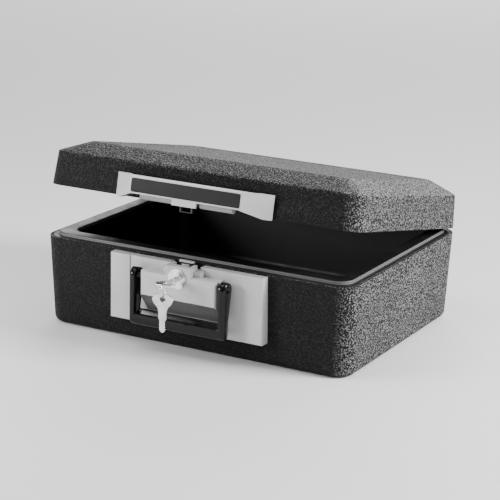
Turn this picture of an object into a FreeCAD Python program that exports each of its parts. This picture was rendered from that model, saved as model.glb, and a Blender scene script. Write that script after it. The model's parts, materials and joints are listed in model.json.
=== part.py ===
import math
import os

import FreeCAD
import Part
import Sketcher

# Fireproof document box: a tapered double-walled chest with a hinged lid, a key lock, a bail
# handle and a lid latch.  Millimetres.  X runs left to right, Y front to back, Z up.  The origin
# is on the ground under the middle of the base.  The lid stands ajar at rest, the handle hangs
# down, one key is in the lock and the second key hangs from its ring.

SIZES = {
    # base
    "width": 390, "depth": 290, "base_height": 103, "corner_radius": 22, "foot_radius": 8,
    "wall": 3, "base_draft": 2.2, "liner_wall": 2.5, "flange": 3,
    "ridge_inset": 9, "ridge_width": 15.5, "ridge_height": 4,
    "base_floor": 26, "liner_draft": 2, "cavity_radius": 14, "cavity_foot": 8,
    # lid, in its closed place
    "lid_gap": 0.5, "lid_side": 38.7, "lid_crown": 14.4, "lid_draft": 3,
    "crown_front": 31, "crown_side": 32, "crown_rear": 22, "crown_radius": 9, "edge_round": 3,
    "lid_skin": 3, "lid_groove": 6, "lid_lip": 7, "lid_cavity": 18, "lid_cavity_inset": 30,
    "ajar": 11.6,
    # rear hinges
    "hinge_back": 6, "hinge_place": 120, "knuckle_radius": 5.5, "knuckle_length": 16,
    "knuckle_gap": 0.4, "hinge_pin_radius": 2.5, "pin_fit": 0.05, "pin_seat": 0.02,
    "leaf_height": 17, "leaf_thick": 2, "leaf_gap": 0.2, "web_height": 4,
    "screw_radius": 1.8, "screw_head_radius": 3.4, "screw_head": 1.5, "screw_length": 9,
    "screw_drop": 12, "screw_pitch": 30,
    # silver front plate
    "plate_half": 96, "plate_low": 26, "plate_high": 101.5, "plate_out": 10, "plate_draft": 5,
    "strip_width": 25, "strip_step": 1.2, "plate_edge": 1.2, "notch_half": 19, "notch_drop": 5,
    # lock housing and boss
    "housing_half": 47.5, "housing_out": 26, "housing_top": 92, "housing_knee": 65,
    "housing_foot": 43, "housing_side": 3, "boss_half": 15, "boss_top": 103, "boss_side": 9,
    "boss_side_top": 98, "pocket_half": 11, "pocket_front": 15.5, "pocket_floor": 95.5,
    "lock_level": 89.7, "barrel_radius": 9.5, "bezel_radius": 11.2, "bezel_thick": 2.2,
    "barrel_back": 12, "plug_radius": 6.5, "plug_proud": 0.6, "keyway_width": 2.4,
    "keyway_half": 4.2, "cam_thick": 1.6, "cam_hole": 1.5,
    # sliding bolt behind the lock
    "bolt_half": 5, "bolt_low": 98.8, "bolt_thick": 3.2, "bolt_front": 9.6, "bolt_back": 3.2,
    "channel_gap": 0.3, "channel_back": 1.2,
    "tab_half": 9, "tab_top": 105.5, "tab_foot": 103.2, "tab_front": 7.2, "tab_back": 3.6,
    # bail handle
    "pivot_out": 21, "pivot_level": 85, "arm_inner": 50, "arm_outer": 60.5, "arm_knuckle": 8.5,
    "grip_back": 19.5, "grip_low": 29.5, "grip_high": 47, "handle_round": 3,
    "handle_pin_radius": 3, "handle_pin_seat": 8,
    # latch on the lid
    "latch_half": 95, "latch_rear_half": 98, "latch_face_half": 69.5, "latch_out": 22.5,
    "latch_end_out": 5, "latch_rear_out": 2.4, "latch_top": 129.5, "latch_bevel": 1.3,
    "latch_low": 109.5, "latch_end_low": 102.4, "latch_slope_in": 67, "latch_slope_out": 90,
    "latch_thick": 3, "latch_end_wall": 9, "latch_lip_out": 13.5, "latch_lip_half": 80,
    "tongue_half": 15, "tongue_low": 103.7, "label_half": 68, "label_low": 111.2,
    "label_high": 126.7, "label_round": 3, "label_sink": 0.8,
    "latch_pin_out": 8, "latch_pin_level": 124, "latch_pin_radius": 1.8,
    "ear_place": 60, "ear_thick": 5, "ear_radius": 3.6, "latch_skin": 1.5, "lug_thick": 5,
    "lug_gap": 0.4, "mount_half": 79, "mount_low": 108, "mount_high": 129, "mount_thick": 2.2,
    "bar_radius": 4, "bar_out": 14.5, "bar_level": 107.9, "bar_inner": 17, "bar_outer": 58,
    "keeper_half": 8, "keeper_low": 97.2, "keeper_out": 13.4, "keeper_thick": 2.4,
    "window_half": 6, "window_low": 98.2, "window_high": 102.6,
    # keys
    "key_thick": 2, "key_bow_half": 12, "key_bow_top": 6, "key_bow_waist": 4.2,
    "key_bow_shoulder": 6, "key_bow_neck": 15, "key_bow_length": 19, "key_blade_half": 3.4,
    "key_neck_half": 4.6, "key_neck_length": 8.6, "key_blade_length": 24, "key_tip": 3,
    "key_hole_radius": 3.3, "key_hole_drop": 5.7, "bit_depth": 1.1, "bit_pitch": 3.4,
    "key_end_out": 56.6,
    "ring_radius": 7.8, "ring_wire": 0.8, "ring_turn": 12, "ring_slack": 1.8, "hang_slack": 0.35,
}

doc = FreeCAD.newDocument("document_box")
sheet = doc.addObject("Spreadsheet::Sheet", "Sizes")
for row, (alias, number) in enumerate(SIZES.items(), start=1):
    sheet.set(f"A{row}", alias)
    sheet.set(f"B{row}", str(number))
    sheet.setAlias(f"B{row}", alias)
doc.recompute()


class Size:
    """A length or angle that keeps both its number and its spreadsheet expression."""

    def __init__(self, number, text):
        self.number = number
        self.text = text

    def join(self, other, sign, swap=False):
        if not isinstance(other, Size):
            other = Size(other, str(other))
        left, right = (other, self) if swap else (self, other)
        numbers = {
            "+": lambda: left.number + right.number,
            "-": lambda: left.number - right.number,
            "*": lambda: left.number * right.number,
            "/": lambda: left.number / right.number,
        }
        return Size(numbers[sign](), f"({left.text} {sign} {right.text})")

    def __add__(self, other):
        return self.join(other, "+")

    def __radd__(self, other):
        return self.join(other, "+", swap=True)

    def __sub__(self, other):
        return self.join(other, "-")

    def __rsub__(self, other):
        return self.join(other, "-", swap=True)

    def __mul__(self, other):
        return self.join(other, "*")

    def __rmul__(self, other):
        return self.join(other, "*", swap=True)

    def __truediv__(self, other):
        return self.join(other, "/")

    def __neg__(self):
        return Size(-self.number, f"(0 - {self.text})")


class Sheet:
    """Reads a spreadsheet alias as a Size."""

    def __getattr__(self, alias):
        return Size(float(getattr(sheet, alias)), f"Sizes.{alias}")


S = Sheet()
ZERO = Size(0.0, "0")
KEY_BITS = 3
LEAF_KNUCKLES = 3  # knuckles along one hinge, two on the base's leaf and one on the lid's
SLACK = 1  # how far a cutting solid runs past the face it opens

NEAR = 0.01  # tolerance when picking edges and planes

NODES = []


def node(piece, label):
    """Mark an object as a finished sub-part and give it its own label."""
    piece.Label = label
    NODES.append(piece)
    return piece


def bind(piece, prop, size):
    piece.setExpression(prop, size.text)


# ---------- primitives ----------

def block(name, low, high):
    """Part::Box between two corners given as Sizes."""
    piece = doc.addObject("Part::Box", name)
    for prop, axis, a, b in zip(("Length", "Width", "Height"), "xyz", low, high):
        bind(piece, prop, b - a)
        bind(piece, f"Placement.Base.{axis}", a + ZERO)
    return piece


TURNS = {
    "x": FreeCAD.Rotation(FreeCAD.Vector(0, 1, 0), 90),
    "y": FreeCAD.Rotation(FreeCAD.Vector(1, 0, 0), -90),
    "z": FreeCAD.Rotation(),
}


def rod(name, axis, radius, length, start):
    """Part::Cylinder along an axis, from its start point."""
    piece = doc.addObject("Part::Cylinder", name)
    piece.Placement = FreeCAD.Placement(FreeCAD.Vector(), TURNS[axis])
    bind(piece, "Radius", radius)
    bind(piece, "Height", length)
    for letter, place in zip("xyz", start):
        bind(piece, f"Placement.Base.{letter}", place + ZERO)
    return piece


def fuse(name, *pieces):
    joined = doc.addObject("Part::MultiFuse", name)
    joined.Shapes = list(pieces)
    return joined


def cut(name, base, *tools):
    result = doc.addObject("Part::Cut", name)
    result.Base = base
    result.Tool = tools[0] if len(tools) == 1 else fuse(f"{name}_tools", *tools)
    return result


def common(name, first, second):
    result = doc.addObject("Part::Common", name)
    result.Base = first
    result.Tool = second
    return result


def rounded(name, base, radius, chosen):
    """Part::Fillet on the edges that the chosen test accepts."""
    doc.recompute()
    piece = doc.addObject("Part::Fillet", name)
    piece.Base = base
    numbers = [n for n, edge in enumerate(base.Shape.Edges, start=1) if chosen(edge)]
    piece.Edges = [(n, radius.number, radius.number) for n in numbers]
    return piece


# ---------- sketched bodies ----------

def plane_of(body, role):
    return next(f for f in body.Origin.OriginFeatures if f.Role == role)


def attach(body, name, role, offset):
    sketch = body.newObject("Sketcher::SketchObject", name)
    sketch.AttachmentSupport = [(plane_of(body, role), "")]
    sketch.MapMode = "FlatFace"
    bind(sketch, "AttachmentOffset.Base.z", offset + ZERO)
    return sketch


def set_distance(sketch, kind, line, end, size):
    """Fix one end of a line at a signed distance from the sketch's origin."""
    place = sketch.addConstraint(
        Sketcher.Constraint(f"Distance{kind}", -1, 1, line, end, size.number)
    )
    bind(sketch, f"Constraints[{place}]", size)


def polygon(body, name, role, corners, offset=ZERO):
    """Closed outline through the given corners, each fixed to the sheet's sizes."""
    sketch = attach(body, name, role, offset)
    spots = [FreeCAD.Vector(a.number, b.number, 0) for a, b in corners]
    count = len(spots)
    for i in range(count):
        sketch.addGeometry(Part.LineSegment(spots[i], spots[(i + 1) % count]), False)
    for i in range(count):
        sketch.addConstraint(Sketcher.Constraint("Coincident", i, 2, (i + 1) % count, 1))
    for i, (a, b) in enumerate(corners):
        set_distance(sketch, "X", i, 1, a)
        set_distance(sketch, "Y", i, 1, b)
    return sketch


def new_body(name):
    return doc.addObject("PartDesign::Body", name)


def pad(body, sketch, length, both=False, reverse=False):
    feature = body.newObject("PartDesign::Pad", f"{sketch.Name}_pad")
    feature.Profile = sketch
    bind(feature, "Length", length)
    feature.Midplane = both
    feature.Reversed = reverse
    return feature


def prism(name, role, corners, length, offset=ZERO, both=False, reverse=False):
    """A padded polygon as a body of its own."""
    body = new_body(name)
    pad(body, polygon(body, f"{name}_outline", role, corners, offset), length, both, reverse)
    return body


def frustum(name, low, high):
    """Part::Wedge between two level rectangles given as (left, right, front, rear, level)."""
    piece = doc.addObject("Part::Wedge", name)
    # The wedge tapers along its own Y, so it is turned to stand along Z.
    piece.Placement = FreeCAD.Placement(
        FreeCAD.Vector(), FreeCAD.Rotation(FreeCAD.Vector(1, 0, 0), 90)
    )
    places = {
        "Ymin": low[4], "Xmin": low[0], "Xmax": low[1], "Zmin": -low[3], "Zmax": -low[2],
        "Ymax": high[4], "X2min": high[0], "X2max": high[1], "Z2min": -high[3],
        "Z2max": -high[2],
    }
    for prop, size in places.items():
        bind(piece, prop, size + ZERO)
    return piece


def tapered(name, low, high, radius, foot=None):
    """Frustum with its four upright edges rounded, and its foot if a radius is given."""
    form = frustum(f"{name}_block", low, high)
    upright = abs(high[4].number - low[4].number) / 2
    piece = rounded(f"{name}_sides", form, radius,
                    lambda e: abs(e.Vertexes[0].Z - e.Vertexes[-1].Z) > upright)
    if foot is not None:
        piece = rounded(f"{name}_foot", piece, foot, at_level(low[4]))
    return piece


def slope(angle):
    """Inset per millimetre of height for a draft angle."""
    return Size(math.tan(math.radians(angle.number)), f"tan({angle.text} * 1 deg)")


def section(inset, level):
    """Rectangle set in from the rim of the box by one distance all round."""
    half, side = S.width / 2 - inset, S.depth / 2 - inset
    return (-half, half, -side, side, level)


def soften(body, name, radius, chosen):
    """PartDesign::Fillet at the tip of a body."""
    doc.recompute()
    tip = body.Tip
    edges = [f"Edge{n}" for n, e in enumerate(tip.Shape.Edges, start=1) if chosen(e)]
    fillet = body.newObject("PartDesign::Fillet", name)
    fillet.Base = (tip, edges)
    bind(fillet, "Radius", radius)
    return fillet


def at_level(level):
    """Test for edges that lie wholly in one horizontal plane."""
    return lambda edge: all(abs(v.Z - level.number) < NEAR for v in edge.Vertexes)


# ---------- where things are ----------

FRONT = -S.depth / 2
REAR = S.depth / 2
RIM = S.base_height
HINGE_Y = REAR + S.hinge_back
LID_BASE = RIM + S.lid_gap


def out(distance):
    """Y of a plane that stands a distance in front of the rim's front edge."""
    return FRONT - distance


def base_inset(level):
    return (RIM - level) * slope(S.base_draft)


def lid_inset(level):
    return (level - LID_BASE) * slope(S.lid_draft)


def ajar(piece):
    """Turn a lid piece from its closed place to where the lid stands at rest."""
    hinge = FreeCAD.Vector(0, HINGE_Y.number, RIM.number)
    turn = FreeCAD.Rotation(FreeCAD.Vector(1, 0, 0), -S.ajar.number)
    piece.Placement = (
        FreeCAD.Placement(hinge, turn) * FreeCAD.Placement(-hinge, FreeCAD.Rotation())
    )
    return piece


# ---------- base ----------

def base_form(name, inset, low, high, radius, foot=None):
    """Tapered block that follows the base's outer wall at a constant inset."""
    return tapered(name, section(inset + base_inset(low), low),
                   section(inset + base_inset(high), high), radius, foot)


def make_base():
    outer = base_form("base_outer", ZERO, ZERO, RIM, S.corner_radius, S.foot_radius)
    core = base_form(
        "base_core", S.wall, S.wall, RIM + SLACK, S.corner_radius - S.wall, S.foot_radius / 2
    )
    node(cut("base_shell_cut", outer, core), "base_shell")

    inset = S.ridge_inset + S.ridge_width
    rim_top = RIM + S.ridge_height
    flange_low = RIM - S.flange
    outside = inset - S.liner_wall

    def tray(name, edge, low, high, radius, foot):
        lean = (rim_top - low) * slope(S.liner_draft)
        lean_top = (rim_top - high) * slope(S.liner_draft)
        return tapered(name, section(edge + lean, low), section(edge + lean_top, high),
                       radius, foot)

    floor_low = S.base_floor - S.liner_wall
    fill = base_form("fill_form", S.wall, S.wall, flange_low,
                     S.corner_radius - S.wall, S.foot_radius / 2)
    tray_form = tray("tray_form", outside, floor_low, RIM, S.cavity_radius + S.liner_wall,
                     S.cavity_foot + S.liner_wall)
    node(cut("base_fill_cut", fill, tray_form), "base_insulation")

    tray_wall = tray("tray_wall", outside, floor_low, RIM, S.cavity_radius + S.liner_wall,
                     S.cavity_foot + S.liner_wall)
    flange = base_form("rim_flange", S.wall, flange_low, RIM, S.corner_radius - S.wall)
    ridge_radius = S.corner_radius - S.ridge_inset / 2
    ridge = tapered("rim_ridge", section(S.ridge_inset, RIM), section(S.ridge_inset, rim_top),
                    ridge_radius)
    cavity = tray("cavity", inset, S.base_floor, rim_top + SLACK, S.cavity_radius,
                  S.cavity_foot)
    tray_solid = fuse("tray_solid", tray_wall, flange, ridge)
    node(cut("base_liner_cut", tray_solid, cavity), "base_liner")


# ---------- front plate, housing and lock ----------

def wall_copy(name):
    """Solid that matches the base's outer form, for cutting pieces to the sloping wall."""
    return base_form(name, ZERO, ZERO - S.foot_radius, RIM + SLACK, S.corner_radius)


def make_plate():
    draft = S.plate_out * slope(S.plate_draft)
    back = S.plate_half + draft
    deep = base_inset(S.plate_low) + FRONT + SLACK
    body = prism("plate_form", "XY_Plane", [
        (-S.plate_half, out(S.plate_out)),
        (S.plate_half, out(S.plate_out)),
        (back, deep),
        (-back, deep),
    ], S.plate_high - S.plate_low, S.plate_low)
    front = out(S.plate_out).number
    soften(body, "plate_edges", S.plate_edge,
           lambda e: all(abs(v.Y - front) < NEAR for v in e.Vertexes))
    panel_half = S.plate_half - S.strip_width
    recess = block("plate_recess",
                   (-panel_half, out(S.plate_out + SLACK), S.plate_low - SLACK),
                   (panel_half, out(S.plate_out - S.strip_step), S.plate_high + SLACK))
    notch = block("plate_notch",
                  (-S.notch_half, out(S.plate_out + SLACK), S.plate_high - S.notch_drop),
                  (S.notch_half, FRONT + SLACK, S.plate_high + SLACK))
    well = block("plate_well",
                 (-S.pocket_half, out(S.plate_out + SLACK), S.bolt_low - S.channel_gap),
                 (S.pocket_half, out(S.channel_back), S.plate_high + SLACK))
    core = rod("plate_core", "y", S.barrel_radius, S.plate_out,
               (ZERO, out(S.plate_out + SLACK), S.lock_level))
    node(cut("plate_cut", body, recess, notch, well, core, wall_copy("plate_wall")),
         "front_plate")


def make_housing():
    face = out(S.housing_out)
    back = out(S.plate_out - S.strip_step)
    main = prism("housing_form", "YZ_Plane", [
        (face, S.housing_top),
        (face, S.housing_knee),
        (back, S.housing_foot),
        (back, S.housing_top),
    ], S.housing_half * 2, both=True)
    corner = S.housing_half.number
    soften(main, "housing_corners", S.housing_side,
           lambda e: all(abs(abs(v.X) - corner) < NEAR and v.Y < face.number + NEAR
                         for v in e.Vertexes))
    boss = block("boss", (-S.boss_half, face, S.housing_knee),
                 (S.boss_half, back, S.boss_top))
    shoulder_half = S.boss_half + S.boss_side
    shoulder = block("boss_shoulder", (-shoulder_half, face + S.boss_side, S.housing_knee),
                     (shoulder_half, back, S.boss_side_top))
    solid = fuse("housing_solid", main, boss, shoulder)
    barrel_hole = rod("barrel_hole", "y", S.barrel_radius, S.housing_out * 2,
                      (ZERO, face - SLACK, S.lock_level))
    bezel_hole = rod("bezel_hole", "y", S.bezel_radius, S.bezel_thick / 2 + SLACK,
                     (ZERO, face - SLACK, S.lock_level))
    pocket = block("keeper_pocket",
                   (-S.pocket_half, out(S.pocket_front + S.keeper_thick), S.pocket_floor),
                   (S.pocket_half, back + SLACK, S.boss_top + SLACK))
    node(cut("housing_cut", solid, barrel_hole, bezel_hole, pocket), "lock_housing")

    pin_start = S.housing_half - S.handle_pin_seat
    pins = []
    for name, start in (("pin_left", -S.arm_outer), ("pin_right", pin_start)):
        pins.append(rod(name, "x", S.handle_pin_radius, S.arm_outer - pin_start,
                        (start, out(S.pivot_out), S.pivot_level)))
    node(fuse("handle_pin_pair", *pins), "handle_pins")

    node(block("strike", (-S.tab_half, out(S.tab_front), S.tab_foot),
               (S.tab_half, out(S.tab_back), S.tab_top)), "strike_tab")


def make_lock():
    face = out(S.housing_out)
    back = out(S.barrel_back)
    length = S.housing_out - S.barrel_back
    barrel = rod("barrel_body", "y", S.barrel_radius, length, (ZERO, face, S.lock_level))
    bezel = rod("barrel_bezel", "y", S.bezel_radius, S.bezel_thick,
                (ZERO, face - S.bezel_thick / 2, S.lock_level))
    bore = rod("barrel_bore", "y", S.plug_radius + S.pin_fit, length * 2,
               (ZERO, face - S.bezel_thick, S.lock_level))
    top = block("barrel_flat", (-S.barrel_radius, out(S.pocket_front + S.keeper_thick + SLACK),
                                S.pocket_floor), (S.barrel_radius, back + SLACK, S.boss_top))
    node(cut("barrel_cut", fuse("barrel_solid", barrel, bezel), bore, top), "lock_barrel")

    plug_front = face - S.bezel_thick / 2 - S.plug_proud
    plug = rod("plug_form", "y", S.plug_radius, back - plug_front,
               (ZERO, plug_front, S.lock_level))
    keyway = block("keyway", (-S.keyway_half, plug_front - SLACK,
                              S.lock_level - S.keyway_width / 2),
                   (S.keyway_half, back - S.plug_proud * 2, S.lock_level + S.keyway_width / 2))
    node(cut("plug_cut", plug, keyway), "lock_plug")

    cam = rod("cam_disc", "y", S.plug_radius - S.pin_fit, S.cam_thick, (ZERO, back, S.lock_level))
    node(cut("cam_cut", cam, rod("cam_hole_form", "y", S.cam_hole, S.cam_thick * 2,
                                 (ZERO, back - SLACK, S.lock_level))), "lock_cam")

    node(block("bolt_form", (-S.bolt_half, out(S.bolt_front), S.bolt_low),
               (S.bolt_half, out(S.bolt_back), S.bolt_low + S.bolt_thick)), "lock_bolt")


# ---------- keys ----------

def key_blank(name):
    """Flat key in the XY plane: bow end at the origin, blade along +Y."""
    bow, top, neck = S.key_bow_half, S.key_bow_top, S.key_bow_neck
    length, blade = S.key_bow_length, S.key_blade_half
    shoulder, tip = length + S.key_neck_length, length + S.key_blade_length
    right = [
        (top, ZERO), (bow - S.key_bow_waist / 2, S.key_bow_waist / 2),
        (bow, S.key_bow_shoulder), (bow - S.key_bow_waist / 2, neck - S.key_bow_waist),
        (top, neck), (S.key_neck_half, length), (S.key_neck_half, shoulder),
        (blade, shoulder + S.bit_depth),
    ]
    left = [(-x, y) for x, y in reversed(right)]
    bits = []
    for i in range(KEY_BITS):
        start = shoulder + S.bit_depth * 2 + S.bit_pitch * i
        bits.append((blade, start))
        bits.append((blade - S.bit_depth, start + S.bit_pitch / 2))
    end = [(blade, tip - S.key_tip), (blade / 3, tip), (-blade / 3, tip),
           (-blade, tip - S.key_tip)]
    body = new_body(f"{name}_blank")
    corners = right + bits + end + left
    pad(body, polygon(body, f"{name}_outline", "XY_Plane", corners), S.key_thick, both=True)
    hole = rod(f"{name}_hole", "z", S.key_hole_radius, S.key_thick * 2,
               (ZERO, S.key_hole_drop, -S.key_thick))
    return cut(f"{name}_cut", body, hole)


def make_keys():
    end_y = out(S.key_end_out).number
    level = S.lock_level.number
    key = node(key_blank("lock_key_form"), "lock_key")
    key.Placement = FreeCAD.Placement(FreeCAD.Vector(0, end_y, level), FreeCAD.Rotation())

    # The ring hangs on the strip between the bow's end and its hole.
    strip = (S.key_hole_drop - S.key_hole_radius).number / 2
    hang_point = FreeCAD.Vector(0, end_y + strip, level)
    inner = (S.ring_radius - S.ring_wire).number
    drop = inner - S.ring_slack.number
    twist = FreeCAD.Rotation(FreeCAD.Vector(0, 0, 1), S.ring_turn.number)
    across = FreeCAD.Rotation(FreeCAD.Vector(0, 1, 0), 90)
    ring = doc.addObject("Part::Torus", "ring_form")
    bind(ring, "Radius1", S.ring_radius)
    bind(ring, "Radius2", S.ring_wire)
    ring.Placement = FreeCAD.Placement(hang_point - FreeCAD.Vector(0, 0, drop), twist * across)
    node(ring, "key_ring")

    # The second key hangs from the bottom of the ring, square to it.
    wire_low = hang_point.z - drop - S.ring_radius.number
    hole_level = wire_low - (S.key_hole_radius - S.ring_wire - S.hang_slack).number
    upright = FreeCAD.Rotation(FreeCAD.Vector(1, 0, 0), -90)
    spare = node(key_blank("spare_key_form"), "spare_key")
    top = FreeCAD.Vector(hang_point.x, hang_point.y, hole_level + S.key_hole_drop.number)
    spare.Placement = FreeCAD.Placement(top, twist * upright)
    return hang_point, FreeCAD.Vector(hang_point.x, hang_point.y, wire_low)


# ---------- handle ----------

def make_handle():
    axle = out(S.pivot_out)
    front, rear = axle - S.arm_knuckle, axle + S.arm_knuckle
    grip_rear = out(S.grip_back)
    # Seen from the side the arms are deep at the pivot and narrow towards the grip.
    side = prism("bail_side", "YZ_Plane", [
        (front, S.grip_low), (grip_rear, S.grip_low), (grip_rear, S.grip_high),
        (rear, S.pivot_level), (front, S.pivot_level),
    ], S.arm_outer * 2, both=True)
    knuckle = rod("bail_knuckle", "x", S.arm_knuckle, S.arm_outer * 2,
                  (-S.arm_outer, axle, S.pivot_level))
    inner = block("bail_inner", (-S.arm_inner, front - SLACK, S.grip_high),
                  (S.arm_inner, rear + SLACK, S.pivot_level + S.arm_knuckle + SLACK))
    soft = [rounded("bail_side_round", side, S.handle_round, is_bail_corner),
            rounded("bail_knuckle_round", knuckle, S.handle_round, is_round_edge)]
    bore = rod("bail_bore", "x", S.handle_pin_radius + S.pin_fit, S.arm_outer * 2 + SLACK * 2,
               (-S.arm_outer - SLACK, axle, S.pivot_level))
    node(cut("bail_cut", fuse("bail_outer", *soft), inner, bore), "handle_bail")


def is_bail_corner(edge):
    """Test for the bail's front edges below the pivots."""
    front = out(S.pivot_out + S.arm_knuckle).number
    ends = [v.Point for v in edge.Vertexes]
    ahead = all(abs(p.y - front) < NEAR for p in ends)
    return ahead and min(p.z for p in ends) < S.grip_high.number


def is_round_edge(edge):
    return isinstance(edge.Curve, Part.Circle)


# ---------- lid ----------

def lid_form(name, inset, low, radius):
    """Lid's outer form at an inset: drafted sides cut by the four chamfers of the crown."""
    shoulder = LID_BASE + S.lid_side
    crown = shoulder + S.lid_crown - inset
    sides = tapered(f"{name}_sides", section(inset + lid_inset(low), low),
                    section(inset + lid_inset(crown), crown), radius)
    # Each chamfer plane runs on downwards past the shoulder to the lid's foot.
    run = (crown - low) / S.lid_crown
    edge = lid_inset(shoulder)
    half, side = S.width / 2, S.depth / 2
    flat = inset / 2
    x_top = half - S.crown_side - flat
    front_top, rear_top = -side + S.crown_front + flat, side - S.crown_rear - flat
    x_low = x_top + (S.crown_side - edge) * run
    front_low = front_top - (S.crown_front - edge) * run
    rear_low = rear_top + (S.crown_rear - edge) * run
    roof = frustum(f"{name}_roof", (-x_low, x_low, front_low, rear_low, low),
                   (-x_top, x_top, front_top, rear_top, crown))
    return common(f"{name}_common", sides, roof)


def make_lid():
    shoulder = LID_BASE + S.lid_side
    crown = (shoulder + S.lid_crown).number
    outer = lid_form("lid_outer", ZERO, LID_BASE, S.corner_radius)
    outer = rounded("lid_crease_round", outer, S.crown_radius, lambda e: is_crease(e, crown))
    outer = rounded("lid_crown_round", outer, S.edge_round, at_level(shoulder + S.lid_crown))
    core = lid_form("lid_core", S.lid_skin, LID_BASE, S.corner_radius - S.lid_skin)
    groove_top = LID_BASE + S.lid_groove
    node(ajar(cut("lid_shell_cut", outer, core)), "lid_shell")

    cavity_top = LID_BASE + S.lid_cavity
    liner_top = cavity_top + S.liner_wall
    slab_top = groove_top + S.liner_wall
    fill = lid_form("lid_fill_form", S.lid_skin, slab_top, S.corner_radius - S.lid_skin)
    dome = [section(S.lid_cavity_inset - S.liner_wall, groove_top),
            section(S.lid_cavity_inset, liner_top)]
    node(ajar(cut("lid_fill_cut", fill, tapered("lid_dome", *dome, S.cavity_radius))),
         "lid_insulation")

    slab_inset = S.lid_skin + lid_inset(slab_top)
    slab = tapered("lid_liner_slab", section(slab_inset, LID_BASE),
                   section(slab_inset, slab_top), S.corner_radius - S.lid_skin)
    dome_wall = tapered("lid_dome_wall", *dome, S.cavity_radius)
    groove = tapered("lid_groove_form", section(S.lid_lip, LID_BASE - SLACK),
                     section(S.lid_lip, groove_top), S.corner_radius - S.lid_lip / 2)
    hollow = tapered("lid_hollow", section(S.lid_cavity_inset, LID_BASE),
                     section(S.lid_cavity_inset + S.liner_wall, cavity_top),
                     S.cavity_radius - S.liner_wall)
    solid = fuse("lid_liner_solid", slab, dome_wall)
    node(ajar(cut("lid_liner_cut", solid, groove, hollow)), "lid_liner")


def is_crease(edge, crown):
    """Test for the four slanting edges between the crown's chamfers."""
    ends = [v.Point for v in edge.Vertexes]
    if len(ends) != 2 or max(p.z for p in ends) < crown - NEAR:
        return False
    return abs(ends[0].z - ends[1].z) > S.lid_crown.number / 3


# ---------- latch ----------

def lid_wall(name):
    return lid_form(name, ZERO, LID_BASE - S.lid_gap, S.corner_radius)


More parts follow.
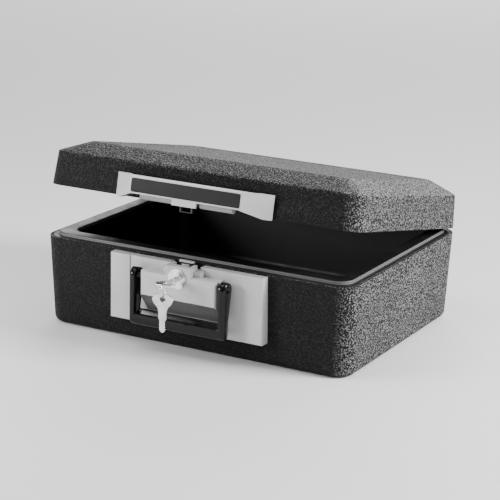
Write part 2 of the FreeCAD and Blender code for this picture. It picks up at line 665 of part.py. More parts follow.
def make_latch():
    face, end_face, back = out(S.latch_out), out(S.latch_end_out), out(S.latch_rear_out)
    outline = [
        (-S.latch_rear_half, S.latch_top), (-S.latch_rear_half, S.latch_end_low),
        (-S.latch_slope_out, S.latch_end_low), (-S.latch_slope_in, S.latch_low),
        (-S.tongue_half, S.latch_low), (-S.tongue_half, S.tongue_low),
        (S.tongue_half, S.tongue_low), (S.tongue_half, S.latch_low),
        (S.latch_slope_in, S.latch_low), (S.latch_slope_out, S.latch_end_low),
        (S.latch_rear_half, S.latch_end_low), (S.latch_rear_half, S.latch_top),
    ]
    # XZ sketches look along +Y, so the pad runs forwards, towards -Y.
    silhouette = prism("latch_silhouette", "XZ_Plane", outline,
                       S.latch_out - S.latch_rear_out, S.depth / 2 + S.latch_rear_out)
    # The middle stands forwards, and both ends sweep back to the lid's wall.
    plan = prism("latch_plan", "XY_Plane", [
        (-S.latch_rear_half, back), (-S.latch_half, end_face), (-S.latch_face_half, face),
        (S.latch_face_half, face), (S.latch_half, end_face), (S.latch_rear_half, back),
    ], S.latch_top - S.latch_end_low, S.latch_end_low)
    side = prism("latch_side", "YZ_Plane", [
        (back, S.latch_end_low), (face, S.latch_end_low),
        (face, S.latch_top - S.latch_bevel), (face + S.latch_bevel * 2, S.latch_top),
        (back, S.latch_top),
    ], S.latch_rear_half * 2, both=True)
    form = common("latch_common", common("latch_front_plan", silhouette, plan), side)
    hollow_half = S.latch_half - S.latch_end_wall
    inner_half = S.latch_slope_in
    hollow_low = S.latch_low + S.latch_thick
    hollow_top = S.latch_top - S.latch_skin
    wall_face = S.latch_out - S.latch_thick - S.latch_bevel / 2
    hollow_form = prism("latch_hollow_form", "XZ_Plane", [
        (-hollow_half, hollow_top), (-hollow_half, S.latch_end_low + S.latch_thick),
        (-inner_half, hollow_low), (inner_half, hollow_low),
        (hollow_half, S.latch_end_low + S.latch_thick), (hollow_half, hollow_top),
    ], wall_face, S.depth / 2)
    hollow_plan = prism("latch_hollow_plan", "XY_Plane", [
        (-S.latch_rear_half, FRONT), (-S.latch_face_half, out(wall_face)),
        (S.latch_face_half, out(wall_face)), (S.latch_rear_half, FRONT),
    ], S.latch_top - S.latch_end_low, S.latch_end_low)
    hollow = common("latch_hollow", hollow_form, hollow_plan)
    slot = block("label_seat", (-S.label_half, face - SLACK, S.label_low),
                 (S.label_half, face + S.label_sink, S.label_high))
    under = block("tongue_relief", (-S.tongue_half - SLACK, out(S.latch_out - S.latch_thick),
                                    S.tongue_low - SLACK),
                  (S.tongue_half + SLACK, back + SLACK, hollow_low))
    pin_y = out(S.latch_pin_out)
    # Between the ends the top is a narrow lip, which leaves room for the pins behind it.
    heel = block("latch_heel",
                 (-S.latch_lip_half, out(S.latch_lip_out), S.latch_pin_level + SLACK),
                 (S.latch_lip_half, FRONT, S.latch_top + SLACK))
    shell = cut("latch_shell", form, hollow, slot, under, heel)

    lugs = []
    for name, centre in (("lug_left", -S.ear_place), ("lug_right", S.ear_place)):
        side_gap = S.ear_thick / 2 + S.lug_gap
        for word, low in (("a", -side_gap - S.lug_thick), ("b", side_gap)):
            web = block(f"{name}_{word}_web",
                        (centre + low, out(S.latch_out - S.latch_thick), S.latch_pin_level
                         - S.ear_radius),
                        (centre + low + S.lug_thick, pin_y, S.latch_pin_level + S.ear_radius))
            eye = rod(f"{name}_{word}_eye", "x", S.ear_radius, S.lug_thick,
                      (centre + low, pin_y, S.latch_pin_level))
            lugs += [web, eye]
    pin_bore = rod("latch_pin_bore", "x", S.latch_pin_radius + S.pin_fit, S.latch_lip_half * 2,
                   (-S.latch_lip_half, pin_y, S.latch_pin_level))
    lever = cut("latch_lever_cut", fuse("latch_lever_solid", shell, *lugs), pin_bore)
    node(ajar(lever), "latch_lever")

    label = block("label_form", (-S.label_half + S.pin_fit, face, S.label_low + S.pin_fit),
                  (S.label_half - S.pin_fit, face + S.label_sink, S.label_high - S.pin_fit))
    corners = rounded("label_corners", label, S.label_round,
                      lambda e: abs(e.Vertexes[0].Y - e.Vertexes[-1].Y) > S.label_sink.number / 2)
    node(ajar(corners), "label_plate")

    bars = [rod(f"bar_{word}", "x", S.bar_radius, S.bar_outer - S.bar_inner,
                (start, out(S.bar_out), S.bar_level))
            for word, start in (("left", -S.bar_outer), ("right", S.bar_inner))]
    trimmed = cut("bars_cut", fuse("bars_pair", *bars),
                  block("bars_top", (-S.latch_half, out(S.latch_out), S.latch_low),
                        (S.latch_half, FRONT, S.latch_top)))
    node(ajar(trimmed), "latch_bars")

    keeper_front = out(S.keeper_out + S.keeper_thick)
    keeper = block("keeper_form", (-S.keeper_half, keeper_front, S.keeper_low),
                   (S.keeper_half, out(S.keeper_out), hollow_low))
    foot = block("keeper_foot", (-S.keeper_half, out(S.latch_out - S.latch_thick), S.latch_low),
                 (S.keeper_half, keeper_front, hollow_low))
    window = block("keeper_window", (-S.window_half, keeper_front - SLACK, S.window_low),
                   (S.window_half, out(S.keeper_out) + SLACK, S.window_high))
    node(ajar(cut("keeper_cut", fuse("keeper_solid", keeper, foot), window)), "latch_keeper")


def make_latch_mount():
    pin_y = out(S.latch_pin_out)
    plate = block("mount_plate", (-S.mount_half, out(S.mount_thick), S.mount_low),
                  (S.mount_half, FRONT + lid_inset(S.mount_high) + SLACK, S.mount_high))
    ears = []
    for name, centre in (("ear_left", -S.ear_place), ("ear_right", S.ear_place)):
        low = centre - S.ear_thick / 2
        web_half = S.ear_radius * 3 / 4
        web = block(f"{name}_web", (low, pin_y, S.latch_pin_level - web_half),
                    (low + S.ear_thick, FRONT, S.latch_pin_level + web_half))
        eye = rod(f"{name}_eye", "x", S.ear_radius, S.ear_thick,
                  (low, pin_y, S.latch_pin_level))
        ears += [web, eye]
    bore = rod("mount_bore", "x", S.latch_pin_radius + S.pin_seat, S.latch_lip_half * 2,
               (-S.latch_lip_half, pin_y, S.latch_pin_level))
    solid = fuse("mount_solid", plate, *ears)
    node(ajar(cut("mount_cut", solid, bore, lid_wall("mount_lid_wall"))), "latch_mount")

    reach = S.ear_thick / 2 + S.lug_gap + S.lug_thick
    pins = [rod(f"latch_pin_{word}", "x", S.latch_pin_radius, reach * 2,
                (centre - reach, pin_y, S.latch_pin_level))
            for word, centre in (("left", -S.ear_place), ("right", S.ear_place))]
    node(ajar(fuse("latch_pin_pair", *pins)), "latch_pins")


# ---------- rear hinges ----------

def hinge_leaf(name, centre, up, starts):
    """Leaf on the rear wall with its knuckles; up is True for the lid's leaf."""
    span = S.knuckle_length * LEAF_KNUCKLES / 2
    low, high = centre - span, centre + span
    inner = REAR + S.leaf_gap
    if up:
        z_low, z_high = RIM + S.web_height, RIM + S.leaf_height
    else:
        z_low, z_high = RIM - S.leaf_height, RIM - S.web_height
    plate = block(f"{name}_plate", (low, inner, z_low), (high, inner + S.leaf_thick, z_high))
    pieces = [plate]
    for i, start in enumerate(starts):
        first = centre + start
        knuckle = rod(f"{name}_knuckle_{i}", "x", S.knuckle_radius,
                      S.knuckle_length - S.knuckle_gap, (first, HINGE_Y, RIM))
        web_low = RIM if up else z_low
        web_high = z_high if up else RIM
        web = block(f"{name}_web_{i}", (first, inner + S.leaf_gap, web_low),
                    (first + S.knuckle_length - S.knuckle_gap, inner + S.leaf_thick, web_high))
        pieces += [knuckle, web]
    fit = S.pin_fit if up else S.pin_seat
    bore = rod(f"{name}_bore", "x", S.hinge_pin_radius + fit, span * 4,
               (centre - span * 2, HINGE_Y, RIM))
    return cut(f"{name}_cut", fuse(f"{name}_solid", *pieces), bore)


def hinge_screws(name, centre, up):
    """Two pan-head screws through one leaf."""
    level = RIM + S.screw_drop if up else RIM - S.screw_drop
    seat = REAR + S.leaf_gap + S.leaf_thick
    screws = []
    for word, shift in (("a", -S.screw_pitch / 2), ("b", S.screw_pitch / 2)):
        head = rod(f"{name}_{word}_head", "y", S.screw_head_radius, S.screw_head,
                   (centre + shift, seat, level))
        shank = rod(f"{name}_{word}_shank", "y", S.screw_radius, S.screw_length,
                    (centre + shift, seat - S.screw_length, level))
        screws += [head, shank]
    return fuse(f"{name}_pair", *screws)


def make_hinges():
    side = S.knuckle_length * LEAF_KNUCKLES / 2
    middle = S.knuckle_length / 2
    pins, base_screws, lid_screws = [], [], []
    for word, centre in (("left", -S.hinge_place), ("right", S.hinge_place)):
        base_leaf = hinge_leaf(f"base_leaf_{word}", centre, False, (-side, middle))
        lid_leaf = hinge_leaf(f"lid_leaf_{word}", centre, True, (-middle,))
        base_set = hinge_screws(f"base_screw_{word}", centre, False)
        lid_set = hinge_screws(f"lid_screw_{word}", centre, True)
        node(base_leaf, f"base_hinge_{word}")
        node(ajar(lid_leaf), f"lid_hinge_{word}")
        base_screws.append(base_set)
        lid_screws.append(lid_set)
        pins.append(rod(f"hinge_pin_{word}", "x", S.hinge_pin_radius, S.knuckle_length * LEAF_KNUCKLES,
                        (centre - side, HINGE_Y, RIM)))
    node(fuse("hinge_pin_pair", *pins), "hinge_pins")
    node(fuse("base_screw_set", *base_screws), "base_hinge_screws")
    node(ajar(fuse("lid_screw_set", *lid_screws)), "lid_hinge_screws")


make_base()
make_plate()
make_housing()
make_lock()
ring_pivot, spare_pivot = make_keys()
make_handle()
make_lid()
make_latch()
make_latch_mount()
make_hinges()
doc.recompute()

failed = [o.Name for o in doc.Objects if "Invalid" in o.State or "Error" in o.State]
if failed:
    raise RuntimeError(f"objects that did not build: {failed}")
for piece in NODES:
    if piece.Shape.isNull() or not piece.Shape.isValid():
        raise RuntimeError(f"{piece.Label} has no valid shape")

os.makedirs("parts", exist_ok=True)
for piece in NODES:
    piece.Shape.exportStep(f"parts/{piece.Label}.step")
    box = piece.Shape.BoundBox
    print(f"{piece.Label:20s} solids {len(piece.Shape.Solids)} volume {piece.Shape.Volume:11.1f}"
          f" x {box.XMin:7.1f} {box.XMax:7.1f} y {box.YMin:7.1f} {box.YMax:7.1f}"
          f" z {box.ZMin:6.1f} {box.ZMax:6.1f}")
print("ring pivot", ring_pivot, "spare key pivot", spare_pivot)
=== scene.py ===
import json
import math
import bmesh
import bpy
from mathutils import Matrix, Vector


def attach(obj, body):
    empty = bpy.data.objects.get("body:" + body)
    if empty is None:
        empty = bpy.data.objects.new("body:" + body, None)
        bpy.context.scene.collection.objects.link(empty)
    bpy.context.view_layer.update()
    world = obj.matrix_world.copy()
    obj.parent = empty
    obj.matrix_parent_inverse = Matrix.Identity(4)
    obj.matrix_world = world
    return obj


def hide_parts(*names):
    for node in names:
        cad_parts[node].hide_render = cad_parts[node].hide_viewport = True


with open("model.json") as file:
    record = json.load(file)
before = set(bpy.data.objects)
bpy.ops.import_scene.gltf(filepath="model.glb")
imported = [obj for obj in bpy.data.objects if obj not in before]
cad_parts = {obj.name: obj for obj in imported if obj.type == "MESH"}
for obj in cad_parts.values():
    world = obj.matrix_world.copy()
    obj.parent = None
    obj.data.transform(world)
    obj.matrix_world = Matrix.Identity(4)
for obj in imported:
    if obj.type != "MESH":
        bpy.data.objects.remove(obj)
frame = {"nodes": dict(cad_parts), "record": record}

# Fireproof document box.  Metres, in the frame's own axes: X right, Y back, Z up.

NODES = frame["nodes"]
JOINTS = {joint["name"]: joint for joint in frame["record"]["behaviour"]["joints"]}
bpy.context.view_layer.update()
MM = 0.001

# ---------- camera ----------

AZIMUTH, ELEVATION, ROLL = math.radians(28.54), math.radians(15.778), math.radians(1.38)
DISTANCE = 2.0496
TARGET = Vector((-0.0046, 0.0, 0.081))
SENSOR = 36.0
LENS = 126.98


def make_camera():
    back = Vector((
        math.sin(AZIMUTH) * math.cos(ELEVATION),
        -math.cos(AZIMUTH) * math.cos(ELEVATION),
        math.sin(ELEVATION),
    ))
    right = Vector((0, 0, 1)).cross(back).normalized()
    up = back.cross(right)
    tilted_right = right * math.cos(ROLL) + up * math.sin(ROLL)
    tilted_up = up * math.cos(ROLL) - right * math.sin(ROLL)
    data = bpy.data.cameras.new("camera")
    data.lens, data.sensor_width = LENS, SENSOR
    data.clip_start, data.clip_end = 0.1, 20.0
    camera = bpy.data.objects.new("camera", data)
    turn = Matrix((tilted_right, tilted_up, back)).transposed().to_4x4()
    camera.matrix_world = Matrix.Translation(TARGET + back * DISTANCE) @ turn
    bpy.context.scene.collection.objects.link(camera)
    bpy.context.scene.camera = camera


make_camera()

# ---------- stage ----------


SKY_STRENGTH = 0.34
FLOOR_GREY, FLOOR_REACH, FLOOR_LEVEL = 0.86, 6.0, -0.2 * MM
# name, place, aim, (width, height), watts
LIGHTS = [
    ("rear_panel", (-0.9, 4.4, 2.3), (0, 0, 0.15), (5.4, 3.0), 250),
    ("key_right", (1.6, 0.25, 0.95), (0.15, 0, 0.1), (0.7, 0.7), 62),
    ("top", (-0.5, -0.5, 1.9), (0, 0, 0.1), (1.0, 1.0), 12),
    ("front_left", (-0.62, -0.75, 0.34), (-0.14, -0.16, 0.07), (0.3, 0.3), 6.5),
]


def area_light(name, place, aim, size, power):
    data = bpy.data.lights.new(name, "AREA")
    data.shape, data.size, data.size_y = "RECTANGLE", size[0], size[1]
    data.energy = power
    light = bpy.data.objects.new(name, data)
    light.location = place
    light.rotation_euler = (Vector(aim) - Vector(place)).to_track_quat("-Z", "Y").to_euler()
    bpy.context.scene.collection.objects.link(light)


def make_stage():
    world = bpy.data.worlds.new("studio")
    bpy.context.scene.world = world
    world.use_nodes = True
    sky = world.node_tree.nodes["Background"]
    sky.inputs["Color"].default_value = (1.0, 1.0, 1.0, 1.0)
    sky.inputs["Strength"].default_value = SKY_STRENGTH
    mesh = bpy.data.meshes.new("floor")
    reach = FLOOR_REACH
    corners = [(-reach, -reach), (reach, -reach), (reach, reach), (-reach, reach)]
    mesh.from_pydata([(x, y, FLOOR_LEVEL) for x, y in corners], [], [(0, 1, 2, 3)])
    floor = bpy.data.objects.new("floor", mesh)
    bpy.context.scene.collection.objects.link(floor)
    white = bpy.data.materials.new("floor_white")
    white.use_nodes = True
    shader = white.node_tree.nodes["Principled BSDF"]
    shader.inputs["Base Color"].default_value = (FLOOR_GREY, FLOOR_GREY, FLOOR_GREY, 1)
    shader.inputs["Roughness"].default_value = 0.95
    shader.inputs["Specular IOR Level"].default_value = 0.1
    mesh.materials.append(white)
    for name, place, aim, size, power in LIGHTS:
        area_light(name, place, aim, size, power)


make_stage()

# ---------- materials ----------


class Nodes:
    """Short hand for building one material's node tree."""

    def __init__(self, name):
        self.material = bpy.data.materials.new(name)
        self.material.use_nodes = True
        self.tree = self.material.node_tree
        self.shader = self.tree.nodes["Principled BSDF"]
        self.where = self.add("ShaderNodeTexCoord").outputs["Object"]

    def add(self, kind, **settings):
        node = self.tree.nodes.new(kind)
        for name, value in settings.items():
            setattr(node, name, value)
        return node

    def link(self, source, target):
        self.tree.links.new(source, target)

    def set(self, **values):
        for name, value in values.items():
            self.shader.inputs[name.replace("_", " ")].default_value = value

    def noise(self, scale, detail=2.0, rough=0.5, source=None):
        node = self.add("ShaderNodeTexNoise")
        node.inputs["Scale"].default_value = scale
        node.inputs["Detail"].default_value = detail
        node.inputs["Roughness"].default_value = rough
        self.link(source or self.where, node.inputs["Vector"])
        return node.outputs["Fac"]

    def cells(self, scale):
        node = self.add("ShaderNodeTexVoronoi", feature="F1")
        node.inputs["Scale"].default_value = scale
        self.link(self.where, node.inputs["Vector"])
        return node.outputs["Distance"]

    def stretched(self, x, y, z):
        node = self.add("ShaderNodeMapping")
        node.inputs["Scale"].default_value = (x, y, z)
        self.link(self.where, node.inputs["Vector"])
        return node.outputs["Vector"]

    def math(self, operation, a, b=0.0):
        node = self.add("ShaderNodeMath", operation=operation)
        for socket, value in zip(node.inputs, (a, b)):
            if isinstance(value, (int, float)):
                socket.default_value = value
            else:
                self.link(value, socket)
        return node.outputs[0]

    def spread(self, fac, low, high, dark, light):
        """Remap a 0-1 texture to a range between two grey values or two colours."""
        node = self.add("ShaderNodeMapRange")
        node.inputs["From Min"].default_value = low
        node.inputs["From Max"].default_value = high
        node.inputs["To Min"].default_value = dark
        node.inputs["To Max"].default_value = light
        self.link(fac, node.inputs["Value"])
        return node.outputs["Result"]

    def blend(self, fac, first, second):
        node = self.add("ShaderNodeMix", data_type="RGBA")
        self.link(fac, node.inputs["Factor"])
        colours = [s for s in node.inputs if s.type == "RGBA"]
        for socket, value in zip(colours, (first, second)):
            if isinstance(value, tuple):
                socket.default_value = value
            else:
                self.link(value, socket)
        return next(s for s in node.outputs if s.type == "RGBA")

    def bump(self, height, strength, distance):
        node = self.add("ShaderNodeBump")
        node.inputs["Strength"].default_value = strength
        node.inputs["Distance"].default_value = distance
        self.link(height, node.inputs["Height"])
        return node.outputs["Normal"]

    def facing(self, axis):
        """One part of the surface's direction in the world, from -1 to 1."""
        normal = self.add("ShaderNodeNewGeometry").outputs["Normal"]
        split = self.add("ShaderNodeSeparateXYZ")
        self.link(normal, split.inputs[0])
        return split.outputs[axis]

    def height(self):
        split = self.add("ShaderNodeSeparateXYZ")
        self.link(self.where, split.inputs[0])
        return split.outputs["Z"]

    def between(self, low, high):
        """1 on upright faces between two levels, 0 elsewhere."""
        above = self.math("GREATER_THAN", self.height(), low)
        below = self.math("LESS_THAN", self.height(), high)
        upright = self.math("LESS_THAN", self.math("ABSOLUTE", self.facing("Z")), 0.6)
        return self.math("MULTIPLY", self.math("MULTIPLY", above, below), upright)


def grey(value, warmth=0.0):
    return (value * (1 + warmth), value, value * (1 - warmth), 1.0)


# pebbles and specks per metre, share of the grain each gives, and depth
PEBBLES, SPECKS = 560, 620
PEBBLE_SHARE, SPECK_SHARE = 0.5, 0.9
GRAIN_DEPTH, PEEL_DEPTH, BRUSH_DEPTH, FILL_DEPTH = 1.6 * MM, 0.2 * MM, 0.08 * MM, 0.6 * MM


def pebbled_plastic(name, dark, light, strength):
    """Black moulded plastic with a pebble grain whose tops carry a painted highlight, palest on
    faces turned to +X and up.
    """
    m = Nodes(name)
    pebble = m.math("SUBTRACT", 1.0, m.cells(PEBBLES))
    fine = m.noise(SPECKS, 1.0, 0.6)
    cloud = m.noise(9, 3.0)
    grain = m.math("ADD", m.math("MULTIPLY", pebble, PEBBLE_SHARE),
                   m.math("MULTIPLY", fine, SPECK_SHARE))
    tops = m.spread(grain, 0.68, 0.86, 0.0, 1.0)
    # Painted highlight for the key light on the right: the tops are painted palest on faces
    # turned to +X in the world, and half as pale on level ones.
    painted_raking_light = m.math("MAXIMUM", m.spread(m.facing("X"), 0.15, 0.9, 0.0, 1.0),
                   m.spread(m.facing("Z"), 0.2, 0.75, 0.0, 0.5))
    # Painted glint: a face turned both up and to +X, such as the crown's right slope, is painted
    # paler still.
    painted_glint = m.math("MULTIPLY", m.spread(m.facing("X"), 0.2, 0.5, 0.0, 1.0),
                    m.spread(m.facing("Z"), 0.3, 0.6, 0.0, 1.6))
    painted_highlight = m.math("ADD", m.math("MULTIPLY", m.math("ADD", painted_raking_light, painted_glint), 0.95), 0.05)
    tone = m.math("MULTIPLY", m.math("MULTIPLY", tops, painted_highlight),
                  m.spread(cloud, 0.3, 0.7, 0.7, 1.0))
    # The light grey is the colour of the painted highlight on the pebble tops.
    m.link(m.blend(tone, grey(dark), grey(light)), m.shader.inputs["Base Color"])
    m.link(m.spread(tops, 0.0, 1.0, 0.66, 0.40), m.shader.inputs["Roughness"])
    m.link(m.bump(grain, strength, GRAIN_DEPTH), m.shader.inputs["Normal"])
    m.set(Specular_IOR_Level=0.22)
    return m.material


def satin_plastic(name, dark, light, roughness, grain=0.12, painted_under_shade=1.0, painted_light_band=None, gloss=0.5):
    """Moulded satin plastic with a faint orange peel and scuffs.

    painted_under_shade darkens faces that look down, as painted shade; painted_light_band is
    (low, high, grey) for a band of upright faces painted paler, as a painted highlight."""
    m = Nodes(name)
    peel = m.noise(900, 2.0)
    cloud = m.noise(26, 3.0)
    scuff = m.noise(60, 4.0, 0.7, m.stretched(1.0, 1.0, 9.0))
    tone = m.math("ADD", m.math("MULTIPLY", cloud, 0.6), m.math("MULTIPLY", scuff, 0.4))
    colour = m.blend(m.spread(tone, 0.35, 0.65, 0.0, 1.0), grey(dark), grey(light))
    # Painted shade: faces that look down are painted darker.
    if painted_under_shade < 1.0:
        below = m.spread(m.facing("Z"), -0.5, -0.25, 1.0, 0.0)
        colour = m.blend(below, colour, grey(dark * painted_under_shade))
    # Painted highlight: a band of upright faces between two levels is painted a paler grey.
    if painted_light_band:
        colour = m.blend(m.between(*painted_light_band[:2]), colour, grey(painted_light_band[2]))
    m.link(colour, m.shader.inputs["Base Color"])
    m.link(m.spread(scuff, 0.35, 0.7, roughness * 0.85, roughness * 1.2),
           m.shader.inputs["Roughness"])
    m.link(m.bump(peel, grain, PEEL_DEPTH), m.shader.inputs["Normal"])
    m.set(Specular_IOR_Level=gloss)
    return m.material


def worn_metal(name, dark, light, roughness, brushed=(1, 1, 1), warmth=0.0):
    """Plated metal: fine brushing, small scratches and duller patches."""
    m = Nodes(name)
    lines = m.noise(700, 3.0, 0.6, m.stretched(*brushed))
    patch = m.noise(140, 3.0)
    m.link(m.blend(m.spread(patch, 0.35, 0.65, 0.0, 1.0), grey(dark, warmth),
                   grey(light, warmth)), m.shader.inputs["Base Color"])
    m.link(m.spread(patch, 0.3, 0.7, roughness * 0.7, roughness * 1.4),
           m.shader.inputs["Roughness"])
    m.link(m.bump(lines, 0.15, BRUSH_DEPTH), m.shader.inputs["Normal"])
    m.set(Metallic=1.0)
    return m.material


def cast_fill(name):
    m = Nodes(name)
    m.link(m.blend(m.noise(220, 4.0, 0.7), (0.55, 0.53, 0.48, 1), (0.82, 0.8, 0.74, 1)),
           m.shader.inputs["Base Color"])
    m.link(m.bump(m.noise(500, 4.0, 0.7), 0.6, FILL_DEPTH), m.shader.inputs["Normal"])
    m.set(Roughness=0.95)
    return m.material


RIM_LEVEL = 103 * MM
RIDGE_TOP = 107.2 * MM

MATERIALS = {
    "shell": pebbled_plastic("shell_plastic", 0.001, 0.24, 1.0),
    # The liner's ridge band of upright faces is painted pale as a painted highlight.
    "liner": satin_plastic("liner_plastic", 0.003, 0.006, 0.5, 0.25,
                           painted_light_band=(RIM_LEVEL + 0.2 * MM, RIDGE_TOP, 0.13)),
    "insulation": cast_fill("insulation_fill"),
    # The silver is painted darker on faces that look down, as painted shade.
    "silver": satin_plastic("silver_plastic", 0.52, 0.60, 0.36, 0.10, painted_under_shade=0.16),
    "bar": satin_plastic("bar_plastic", 0.20, 0.27, 0.40, 0.10),
    "label": satin_plastic("label_plastic", 0.014, 0.020, 0.5, 0.10, gloss=0.15),
    "handle": satin_plastic("handle_plastic", 0.001, 0.002, 0.17, 0.05, gloss=0.28),
    "lock_chrome": worn_metal("lock_metal", 0.72, 0.88, 0.13),
    "key_nickel": worn_metal("key_metal", 0.66, 0.84, 0.22, (1, 1, 6), 0.015),
    "zinc": worn_metal("zinc_metal", 0.50, 0.66, 0.36),
    "hinge": satin_plastic("hinge_paint", 0.004, 0.008, 0.5, 0.2),
    "steel": worn_metal("steel_metal", 0.52, 0.66, 0.28),
}
SLOT_OF = {part["node"]: part["material_slot"] for part in frame["record"]["subparts"]}
BODY_OF = {
    name: body for body, names in frame["record"]["behaviour"]["bodies"].items() for name in names
}

# ---------- helpers for pieces ----------


BEVEL_FROM = 32
SHARP_FROM = 30


def smooth(obj, angle):
    """Smooth shading that keeps edges sharper than the angle."""
    mesh = obj.data
    mesh.polygons.foreach_set("use_smooth", [True] * len(mesh.polygons))
    mesh.set_sharp_from_angle(angle=math.radians(angle))


def bevelled(obj, width, segments):
    modifier = obj.modifiers.new("bevel", "BEVEL")
    modifier.width, modifier.segments = width, segments
    modifier.limit_method, modifier.angle_limit = "ANGLE", math.radians(BEVEL_FROM)
    modifier.harden_normals = True


def dress(*names):
    """Give CAD nodes that keep their own mesh their material."""
    for name in names:
        NODES[name].data.materials.clear()
        NODES[name].data.materials.append(MATERIALS[SLOT_OF[name]])


def refine(width, *names, segments=2):
    """Replace CAD nodes by copies with clean flat faces and soft edges."""
    for name in names:
        mesh = NODES[name].data.copy()
        mesh.name = f"{name}_soft"
        work = bmesh.new()
        work.from_mesh(mesh)
        bmesh.ops.remove_doubles(work, verts=work.verts, dist=2e-6)
        bmesh.ops.dissolve_limit(work, angle_limit=math.radians(0.4), verts=work.verts,
                                 edges=work.edges)
        work.to_mesh(mesh)
        work.free()
        mesh.materials.clear()
        mesh.materials.append(MATERIALS[SLOT_OF[name]])
        obj = bpy.data.objects.new(f"{name}_soft", mesh)
        bpy.context.scene.collection.objects.link(obj)
        smooth(obj, SHARP_FROM)
        bevelled(obj, width, segments)
        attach(obj, BODY_OF[name])
        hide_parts(name)


def new_piece(name, verts, faces, slot, body, nodes, angle):
    mesh = bpy.data.meshes.new(name)
    mesh.from_pydata([tuple(v) for v in verts], [], faces)
    mesh.validate()
    work = bmesh.new()
    work.from_mesh(mesh)
    bmesh.ops.recalc_face_normals(work, faces=work.faces)
    work.to_mesh(mesh)
    work.free()
    obj = bpy.data.objects.new(name, mesh)
    bpy.context.scene.collection.objects.link(obj)
    mesh.materials.append(MATERIALS[slot])
    smooth(obj, angle)
    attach(obj, body)
    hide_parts(*nodes)


def corner_loop(left, right, front, rear, radius, level, steps=10):
    """Points round a rectangle with round corners, all at one level."""
    radius = max(radius, 1e-5)
    points = []
    centres = [(right - radius, front + radius, -90), (right - radius, rear - radius, 0),
               (left + radius, rear - radius, 90), (left + radius, front + radius, 180)]
    for cx, cy, start in centres:
        for i in range(steps + 1):
            a = math.radians(start + 90 * i / steps)
            points.append(Vector((cx + radius * math.cos(a), cy + radius * math.sin(a), level)))
    return points


def skin(loops):
    """Verts and faces of a skin through loops of equal length, closed at both ends."""
    count = len(loops[0])
    verts = [p for loop in loops for p in loop]
    faces = []
    for row in range(len(loops) - 1):
        a, b = row * count, (row + 1) * count
        for i in range(count):
            j = (i + 1) % count
            faces.append((a + i, a + j, b + j, b + i))
    faces.append(tuple(reversed(range(count))))
    faces.append(tuple(range((len(loops) - 1) * count, len(loops) * count)))
    return verts, faces


# ---------- the lid's own frame ----------

HINGE = Vector(JOINTS["lid_hinge"]["pos_m"])
AJAR = math.radians(-JOINTS["lid_hinge"]["range_deg"][0])
LID_TURN = (Matrix.Translation(HINGE) @ Matrix.Rotation(-AJAR, 4, "X")
            @ Matrix.Translation(-HINGE))
LID_BACK = LID_TURN.inverted()


def closed_box(name):
    """A lid node's lowest and highest corners with the lid shut."""
    points = [LID_BACK @ v.co for v in NODES[name].data.vertices]
    low = Vector([min(p[i] for p in points) for i in range(3)])
    high = Vector([max(p[i] for p in points) for i in range(3)])
    return low, high


# ---------- pieces ----------

SHOULDER = 38.7 * MM
CROWN_FRONT, CROWN_SIDE, CROWN_REAR = 31 * MM, 32 * MM, 22 * MM
LID_DRAFT = math.tan(math.radians(3))
CORNER, TOP_CORNER = 22 * MM, 13 * MM
WALL = 3 * MM


def make_lid_shell():
    """Outer lid: drafted sides, rounded shoulder, chamfered crown and a shallow top panel."""
    low, high = closed_box("lid_shell")
    base, top = low.z, high.z
    shoulder = base + SHOULDER
    rise = top - shoulder

    def ring(inset_front, inset_side, inset_rear, level, radius):
        return corner_loop(low.x + inset_side, high.x - inset_side, low.y + inset_front,
                           high.y - inset_rear, radius, level, 12)

    def side_ring(level, extra=0.0):
        inset = (level - base) * LID_DRAFT + extra
        return ring(inset, inset, inset, level, CORNER - extra)

    edge = SHOULDER * LID_DRAFT

    def crown_ring(t, drop=0.0, extra=0.0):
        """t runs from 0 at the shoulder to 1 at the top."""
        def mix(a, b):
            return a + (b - a) * t
        return ring(mix(edge, CROWN_FRONT) + extra, mix(edge, CROWN_SIDE) + extra,
                    mix(edge, CROWN_REAR) + extra, shoulder + rise * t - drop,
                    mix(CORNER - edge, TOP_CORNER))

    rim, soft = 1.2 * MM, 2.5 * MM
    # The skin starts inside, under the crown, and comes down the inner wall to the mouth.
    loops = [crown_ring(0.9, WALL, WALL), crown_ring(0.1, WALL, WALL),
             side_ring(shoulder - WALL, WALL), side_ring(base + rim, WALL),
             side_ring(base, WALL - rim * 0.3), side_ring(base, rim),
             side_ring(base + rim * 0.3, rim * 0.3), side_ring(base + rim)]
    loops += [side_ring(base + SHOULDER * t) for t in (0.25, 0.5, 0.75)]
    loops += [side_ring(shoulder - soft), side_ring(shoulder - soft * 0.45, 0.12 * MM)]
    loops += [crown_ring(0.02, 0.25 * MM), crown_ring(0.08, 0.1 * MM)]
    loops += [crown_ring(t) for t in (0.14, 0.3, 0.5, 0.7, 0.86)]
    loops += [crown_ring(0.94, 0.1 * MM), crown_ring(0.98, 0.2 * MM), crown_ring(1.0, 0.2 * MM),
              crown_ring(1.0, 0.05 * MM, 2 * MM), crown_ring(1.0, 0.05 * MM, 9 * MM)]
    loops += [crown_ring(1.0, 0.9 * MM, 11 * MM), crown_ring(1.0, 0.9 * MM, 14 * MM)]
    verts, faces = skin(loops)
    new_piece("lid_shell_skin", [LID_TURN @ v for v in verts], faces, "shell", "lid",
              ["lid_shell"], 50)


make_lid_shell()

ARM_OUT, ARM_IN = 60.5 * MM, 50 * MM
GRIP_LOW, GRIP_HIGH = 29.5 * MM, 47 * MM
PIVOT = Vector(JOINTS["handle_swing"]["pos_m"])
KNUCKLE = 8.5 * MM
GRIP_REAR = PIVOT.y + 1.5 * MM
OUTLINE_CORNER = 4 * MM


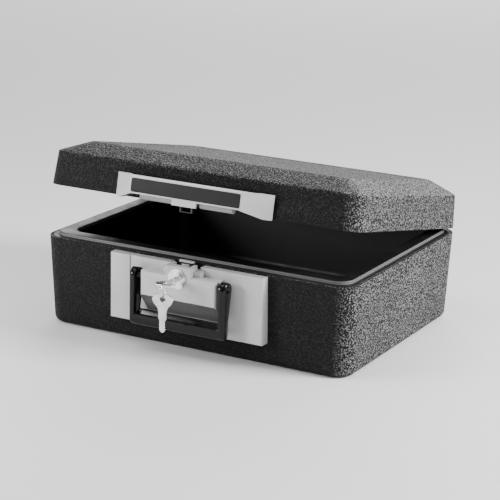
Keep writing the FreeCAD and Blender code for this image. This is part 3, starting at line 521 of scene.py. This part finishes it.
def bail_section(depth, breadth):
    """Points of the bail's section: (0 outside to 1 inside, 0 front to 1 rear)."""
    outer, small = min(4.2 * MM, depth * 0.42), 1.1 * MM
    points = [(0.0, depth - small)]
    for i in range(7):
        a = math.radians(15 * i)
        points.append((outer * (1 - math.cos(a)), outer * (1 - math.sin(a))))
    lip = breadth - min(4.6 * MM, breadth * 0.27)
    points += [(lip - small, 0.0), (lip - 0.3 * MM, 0.25 * MM), (lip, small)]
    points += [(lip - 0.5 * MM, depth * 0.30), (lip - 0.3 * MM, depth * 0.42),
               (breadth - small, depth * 0.60), (breadth - 0.2 * MM, depth * 0.66),
               (breadth, depth * 0.72), (breadth, depth * 0.88),
               (breadth - 0.3 * MM, depth * 0.96), (breadth - small, depth), (small, depth),
               (0.3 * MM, depth - 0.3 * MM)]
    return [(u / breadth, v / depth) for u, v in points]


def bail_stations():
    """(outer point, inner point, front, rear) along the bail's left half, in X and Z."""
    front = PIVOT.y - KNUCKLE
    stations = []
    for degrees in (82, 70, 56, 42, 28, 14):
        a = math.radians(degrees)
        level, half = PIVOT.z + KNUCKLE * math.sin(a), KNUCKLE * math.cos(a)
        pull = 1.6 * MM * (1 - math.cos(a)) ** 2
        stations.append(((-ARM_OUT + pull, level), (-ARM_IN - pull * 0.6, level),
                         PIVOT.y - half, PIVOT.y + half))
    for t in (0.0, 0.25, 0.5, 0.75, 0.92):
        level = PIVOT.z + (GRIP_HIGH - PIVOT.z) * t
        rear = PIVOT.y + KNUCKLE + (GRIP_REAR - PIVOT.y - KNUCKLE) * t
        stations.append(((-ARM_OUT, level), (-ARM_IN, level), front, rear))
    inner = (-ARM_IN, GRIP_HIGH)
    centre = (-ARM_OUT + OUTLINE_CORNER, GRIP_LOW + OUTLINE_CORNER)
    for degrees in (0, 22.5, 45, 67.5, 90):
        a = math.radians(degrees)
        outer = (centre[0] - OUTLINE_CORNER * math.cos(a),
                 centre[1] - OUTLINE_CORNER * math.sin(a))
        stations.append((outer, inner, front, GRIP_REAR))
    for x in (-46 * MM, -30 * MM, -10 * MM):
        stations.append(((x, GRIP_LOW), (x, GRIP_HIGH), front, GRIP_REAR))
    return stations


def make_bail():
    """Bail handle: deep knuckles, a ribbed grip and mitred lower corners."""
    loops = []
    left = bail_stations()
    right = [((-o[0], o[1]), (-i[0], i[1]), f, r) for o, i, f, r in reversed(left)]
    for outer, inner, front, rear in left + right:
        breadth = GRIP_HIGH - GRIP_LOW if abs(outer[0]) < 47 * MM else ARM_OUT - ARM_IN
        loop = []
        for s, t in bail_section(rear - front, breadth):
            loop.append(Vector((outer[0] + (inner[0] - outer[0]) * s,
                                front + (rear - front) * t,
                                outer[1] + (inner[1] - outer[1]) * s)))
        loops.append(loop)
    verts, faces = skin(loops)
    new_piece("bail", verts, faces, "handle", "handle", ["handle_bail"], 50)


make_bail()

dress("base_insulation", "lid_insulation", "key_ring", "handle_pins", "latch_pins", "hinge_pins")
refine(0.8 * MM, "base_shell", "lid_liner")
refine(1.2 * MM, "base_liner", segments=3)
refine(0.5 * MM, "front_plate", "lock_housing", "latch_lever", "latch_bars", segments=3)
refine(0.3 * MM, "strike_tab", "latch_mount", "latch_keeper", "label_plate", "lock_bolt",
       "lock_cam", "base_hinge_left", "base_hinge_right", "lid_hinge_left", "lid_hinge_right")
refine(0.25 * MM, "lock_barrel", "lock_plug", "lock_key", "spare_key")
refine(0.2 * MM, "base_hinge_screws", "lid_hinge_screws")
